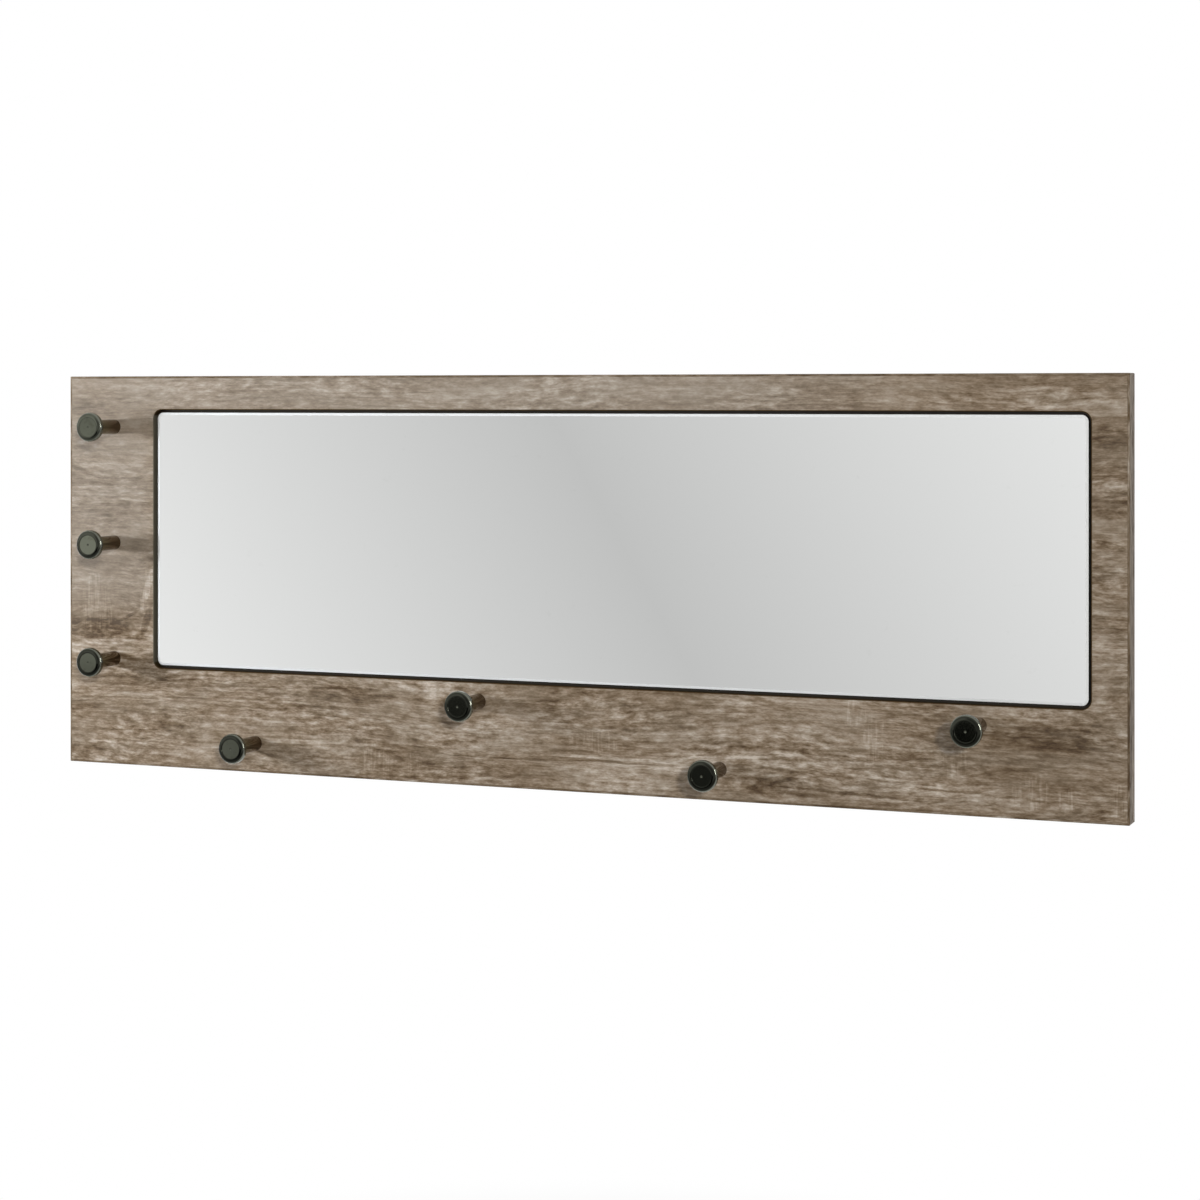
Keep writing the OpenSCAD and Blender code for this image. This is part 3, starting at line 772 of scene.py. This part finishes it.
def cut_glass_edge():
    """The ground side of float glass: dull, a little uneven, dark olive partly as a painted reflection."""
    r = Recipe("cut_glass_edge")
    uneven = r.noise(r.place_mm(), (3, 1.5, 3), 3, seed=8.3)
    # The olive is partly a painted reflection of the brown lining that the edge faces.
    colour = r.mixed(uneven, paint(44, 42, 28), paint(74, 72, 54))
    return r.finish(Base_Color=colour, Roughness=0.3 + uneven * 0.3, Normal=r.bump(uneven * 0.05, 0.5))


for finish in (silvered_face(), cut_glass_edge(), ground_bevel()):
    glass.data.materials.append(finish)
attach(glass, "root")
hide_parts("mirror_glass")
print("mirror finishes:", ", ".join(finish.name for finish in glass.data.materials))

# %% [markdown]
# ## What lies behind and inside
#
# The silver's paint, the foam tape and the metal fasteners show only from behind or in the gap round the
# mirror. They still get a real finish, since the part may be taken apart or seen from the back. The plated
# pieces could have a recipe each, but zinc on steel differs only in its two tones and in how the steel was
# formed, so one recipe takes those and makes all three.

# %% Paint, foam and plated steel
def silver_paint():
    """The grey paint that protects the silver, a little uneven along the way it was rolled on."""
    r = Recipe("silver_paint")
    spread = r.noise(r.place_mm(), (30, 10, 8), 3, seed=1.9)
    colour = r.mixed(spread, paint(112, 114, 116), paint(134, 136, 138))
    return r.finish(Base_Color=colour, Roughness=0.55 + spread * 0.15)


def foam_tape():
    """Dull dark foam with fine cells."""
    r = Recipe("foam_tape")
    cells = r.noise(r.place_mm(), (0.35, 0.35, 0.35), 2, seed=3.7)
    colour = r.mixed(cells, paint(34, 34, 35), paint(52, 52, 53))
    return r.finish(Base_Color=colour, Roughness=0.8 + cells * 0.15, Normal=r.bump(cells * 0.2, 0.8))


def plated_steel(name, dark, light, grain_mm):
    """Plated steel: rolled or pressed grain, a wandering tone from the bath and a soft satin shine."""
    r = Recipe(name)
    place = r.place_mm()
    bath = r.noise(place, (11, 11, 11), 3, 0.6, seed=6.6)
    grain = r.noise(place, grain_mm, 2, 0.6, seed=1.5)
    colour = r.mixed(r.step(bath, 0.3, 0.7), dark, light)
    return r.finish(
        Base_Color=colour, Metallic=1.0, Roughness=0.26 + bath * 0.16 + (grain - 0.5) * 0.12,
        Normal=r.bump((grain - 0.5) * 0.012, 0.6),
    )


dress(["mirror_silver_coat"], silver_paint())
dress(["mirror_tape_strips"], foam_tape())
ROLLED_MM, PRESSED_MM = (0.3, 0.3, 9), (0.5, 0.5, 0.5)
blue_zinc = plated_steel("blue_zinc", paint(176, 180, 186), paint(206, 208, 210), ROLLED_MM)
dress(["hanger_plate_left", "hanger_plate_right"], blue_zinc)
bright_zinc = plated_steel("bright_zinc", paint(186, 188, 190), paint(214, 214, 212), PRESSED_MM)
dress(["peg_screws", "peg_washers"], bright_zinc)
yellow_zinc = plated_steel("yellow_zinc", paint(196, 170, 112), paint(214, 194, 140), PRESSED_MM)
dress(["hanger_plate_screws"], yellow_zinc)

# %% [markdown]
# ## The studio
#
# The panel hangs free before a white ground, over a pale floor. The floor takes the panel's soft shadow. A
# plain white floor would do for one view, but from above its dull grey would end in a hard line, so it
# glows a little and fades into the ground.

# %% The floor
FLOOR_DROP = 0.9
FLOOR_HALF = 5.0
FLOOR_NEAR_MM, FLOOR_FAR_MM = 500.0, 1100.0
FLOOR_GLOW = 0.6


def lay_floor():
    """A square of pale floor that fades to the white ground. Its glow is there for the camera alone, and
    shiny pieces see the world instead."""
    sides = [(-1, -1), (1, -1), (1, 1), (-1, 1)]
    corners = [(x * FLOOR_HALF, y * FLOOR_HALF, -FLOOR_DROP) for x, y in sides]
    mesh = bpy.data.meshes.new("floor")
    mesh.from_pydata(corners, [], [(0, 1, 2, 3)])
    floor = bpy.data.objects.new("floor", mesh)
    bpy.context.scene.collection.objects.link(floor)
    floor.visible_glossy = False
    r = Recipe("pale_floor")
    place = r.place_mm()
    x, y, z = r.parts(place)
    lit = r.add("ShaderNodeBsdfDiffuse", None, {"Color": paint(236, 236, 235)})
    white = r.add("ShaderNodeEmission", None, {"Color": (1, 1, 1, 1), "Strength": 1.0})
    distance = r.math("POWER", x * x + y * y, 0.5)
    seen = r.add("ShaderNodeLightPath", output=0)
    glow = (FLOOR_GLOW + (1 - FLOOR_GLOW) * r.step(distance, FLOOR_NEAR_MM, FLOOR_FAR_MM)) * seen
    shader = r.add("ShaderNodeMixShader", None, {0: glow, 1: lit, 2: white})
    r.add("ShaderNodeOutputMaterial", None, {"Surface": shader})
    mesh.materials.append(r.material)


lay_floor()
print("floor", FLOOR_DROP, "m below the panel's middle")

# %% [markdown]
# ## The room that shines back
#
# A mirror and seven dark mirrors of pegs show nothing but their room. It could be built of white walls and
# cards, but then every wall would light the wood as well. So reflected rays read a room that is only
# drawn: a level strip of pale wall with a wide, slightly leaning grey fold, a paler corner at its left
# end, a dark flag below it, duller walls at the sides and a paler ceiling. All other rays find an even
# grey, and the camera white.

# %% The world
AMBIENT = 0.14
FOLD_PLACE, FOLD_LEAN, FOLD_REACH = -0.4334, -0.5944, 0.2
FOLD_GREY, FOLD_EDGE_GREY, FOLD_PALEST = 0.585, 0.825, 1.6
STRIP_TOP, STRIP_TOP_SOFT, STRIP_END_SOFT = 0.012, 0.012, 0.05
STRIP_LEFT, STRIP_RIGHT = -0.72, -0.17
CORNER_SIDE, CORNER_RISE, CORNER_FADE, CORNER_SOFT = -0.63, -0.062, 0.075, 0.012
CORNER_GREY, CORNER_DARKENS, CORNER_DARKEST = 0.87, 0.6, 0.3
FLAG_TOP, FLAG_SOFT, FLAG_FALL = -0.1206, 0.0012, -0.006
FLAG_LEFT, FLAG_RIGHT = -0.69, -0.49
FLAG_BOTTOM = -0.34
FLAG_GREY, FLAG_RIGHT_GREY = 0.05, 0.015
LOW_GREY, LOW_NEAR_GREY, HIGH_GREY = 0.24, 0.62, 1.2
LEFT_GREY, LEFT_FAR_GREY, RIGHT_GREY, RIGHT_FAR_GREY = 0.9, 0.62, 0.4, 0.7
CEILING_GREY, BEHIND_GREY = 0.85, 0.95
LEAST_AHEAD = 0.05

# Where one part of the drawn room turns into another, as (from, to) of y, side or rise
BEHIND_TO_FRONT = (-0.1, -0.3)
RIGHT_FADE, LEFT_FADE, LEFT_TO_RIGHT = (-0.1, 0.9), (-1.6, -0.6), (-0.74, -0.66)
HIGH_TO_RIGHT, WALL_TO_HIGH, HIGH_TO_CEILING = (-0.32, -0.12), (-0.01, 0.03), (0.25, 0.9)
LOW_LEAN, LOW_FADE, LOW_TO_WALL = 0.25, (-0.3, -2.1), (-0.45, -0.25)
STRIP_FOOT = (-0.3, -0.2)
FLAG_FOOT_SOFT, FLAG_END, FLAG_DARKENS = 0.06, (0.1, -0.1), (-0.35, -0.27)


def light_world():
    """White to the camera, an even grey light on the object, and the drawn room in reflections.

    A reflected direction is read as side and rise, its slopes to the right and up as it leaves the panel.
    LEAST_AHEAD keeps both within bounds for a ray that grazes the panel. The fold is darkest where
    side = place + lean * rise, and gets paler on both sides of that line."""
    world = bpy.data.worlds.new("studio")
    world.use_nodes = True
    bpy.context.scene.world = world
    r = Recipe("studio", world.node_tree)
    x, y, z = r.parts(r.add("ShaderNodeTexCoord", output=0))
    ahead = r.math("MAXIMUM", 0.0 - y, LEAST_AHEAD)
    side, rise = x / ahead, z / ahead
    in_front = r.step(y, *BEHIND_TO_FRONT)
    off_fold = r.math("ABSOLUTE", side - FOLD_PLACE - rise * FOLD_LEAN)
    off_share = r.math("MINIMUM", off_fold / FOLD_REACH, FOLD_PALEST)
    paler = off_share * (FOLD_EDGE_GREY - FOLD_GREY) + FOLD_GREY
    from_bright = (rise - CORNER_RISE) / CORNER_FADE
    corner = r.math("MAXIMUM", CORNER_GREY - from_bright * from_bright * CORNER_DARKENS, CORNER_DARKEST)
    at_corner = r.step(side, CORNER_SIDE + CORNER_SOFT, CORNER_SIDE - CORNER_SOFT)
    strip = paler + (corner - paler) * at_corner
    right = RIGHT_GREY + (RIGHT_FAR_GREY - RIGHT_GREY) * r.step(side - rise, *RIGHT_FADE)
    left = LEFT_FAR_GREY + (LEFT_GREY - LEFT_FAR_GREY) * r.step(side - rise, *LEFT_FADE)
    sides = left + (right - left) * r.step(side, *LEFT_TO_RIGHT)
    high = HIGH_GREY + (right - HIGH_GREY) * r.step(side, *HIGH_TO_RIGHT)
    outer = sides + (high - sides) * r.step(rise, *WALL_TO_HIGH)
    outer = outer + (CEILING_GREY - outer) * r.step(rise, *HIGH_TO_CEILING)
    low = LOW_GREY + (LOW_NEAR_GREY - LOW_GREY) * r.step(rise + side * LOW_LEAN, *LOW_FADE)
    outer = low + (outer - low) * r.step(rise, *LOW_TO_WALL)
    in_strip = r.step(rise, STRIP_TOP + STRIP_TOP_SOFT, STRIP_TOP) * r.step(rise, *STRIP_FOOT)
    in_strip = in_strip * r.step(side, STRIP_LEFT - STRIP_END_SOFT, STRIP_LEFT)
    in_strip = in_strip * r.step(side, STRIP_RIGHT + STRIP_END_SOFT, STRIP_RIGHT)
    studio = outer + (strip - outer) * in_strip
    flag_top = FLAG_TOP + FLAG_FALL * (side - FLAG_RIGHT)
    flag = r.step(rise - flag_top, FLAG_SOFT, -FLAG_SOFT) * r.step(side, FLAG_LEFT, FLAG_RIGHT)
    flag = flag * r.step(rise, FLAG_BOTTOM - FLAG_FOOT_SOFT, FLAG_BOTTOM) * r.step(side, *FLAG_END)
    flag_grey = FLAG_GREY + (FLAG_RIGHT_GREY - FLAG_GREY) * r.step(side, *FLAG_DARKENS)
    studio = studio + (flag_grey - studio) * flag
    studio = BEHIND_GREY + (studio - BEHIND_GREY) * in_front
    camera_ray = r.add("ShaderNodeLightPath", output=0)
    light_path = camera_ray.socket.node.outputs
    glossy, through = Wire(r, light_path["Is Glossy Ray"]), Wire(r, light_path["Is Transmission Ray"])
    mirror_ray = r.math("MAXIMUM", glossy, through)
    strength = AMBIENT + (studio - AMBIENT) * mirror_ray
    strength = strength + (1.0 - strength) * camera_ray
    ground = r.add("ShaderNodeBackground", None, {"Color": (1, 1, 1, 1), "Strength": strength})
    r.add("ShaderNodeOutputWorld", None, {"Surface": ground})


light_world()
print("world: even light", AMBIENT, "fold", FOLD_GREY, "flag", FLAG_GREY)

# %% [markdown]
# ## The lamps
#
# Three soft boxes light the wood. A small, slightly cool key at the far left, level with the panel, throws
# each peg's shadow straight to the right. A strong, slightly warm fill stands far off in front and to the
# right, above the camera, and its shadows fall just below each head at the left. A faint long box above
# softens both. One large lamp could light it all, but two kinds of shadow need two places. The fourth box,
# tall and at the right, is seen by shiny pieces alone: it is the bright line on each rim.

# %% Hang the lamps
KEY_PLACE, KEY_SIZE, KEY_WATTS = (-1.35, -0.75, 0.1), (0.6, 0.1), 12.6
FILL_PLACE, FILL_SIZE, FILL_WATTS = (3.6, -6.0, 1.55), (0.5, 0.5), 228
TOP_PLACE, TOP_SIZE, TOP_WATTS = (-0.2, -0.5, 0.75), (1.2, 0.15), 1.6
GLINT_PLACE, GLINT_SIZE, GLINT_WATTS = (2.6, -0.9, 0.65), (0.3, 1.2), 20
COOL, WARM, NEUTRAL = (0.94, 1.0, 1.09), (1.012, 1.0, 0.97), (1.0, 1.0, 1.0)


def hang_lamp(name, place, size, watts, tint, lights, mirrored):
    """A soft box, size = (wide, high). It shines along its own -Z, so its Z is turned away from the
    panel's middle. lights says whether dull surfaces take its light, and mirrored whether shiny ones
    show it."""
    lamp = bpy.data.lights.new(name, "AREA")
    lamp.shape = "RECTANGLE"
    lamp.size, lamp.size_y = size
    lamp.energy = watts
    lamp.color = tint
    holder = bpy.data.objects.new(name, lamp)
    holder.location = place
    holder.rotation_euler = holder.location.to_track_quat("Z", "Y").to_euler()
    holder.visible_diffuse = lights
    holder.visible_glossy = mirrored
    holder.visible_camera = False
    bpy.context.scene.collection.objects.link(holder)
    print(name, watts, "W")


hang_lamp("key_light", KEY_PLACE, KEY_SIZE, KEY_WATTS, COOL, lights=True, mirrored=False)
hang_lamp("fill_light", FILL_PLACE, FILL_SIZE, FILL_WATTS, WARM, lights=True, mirrored=False)
hang_lamp("top_light", TOP_PLACE, TOP_SIZE, TOP_WATTS, NEUTRAL, lights=True, mirrored=False)
hang_lamp("glint_light", GLINT_PLACE, GLINT_SIZE, GLINT_WATTS, NEUTRAL, lights=False, mirrored=True)
bpy.context.scene.view_settings.view_transform = "Standard"
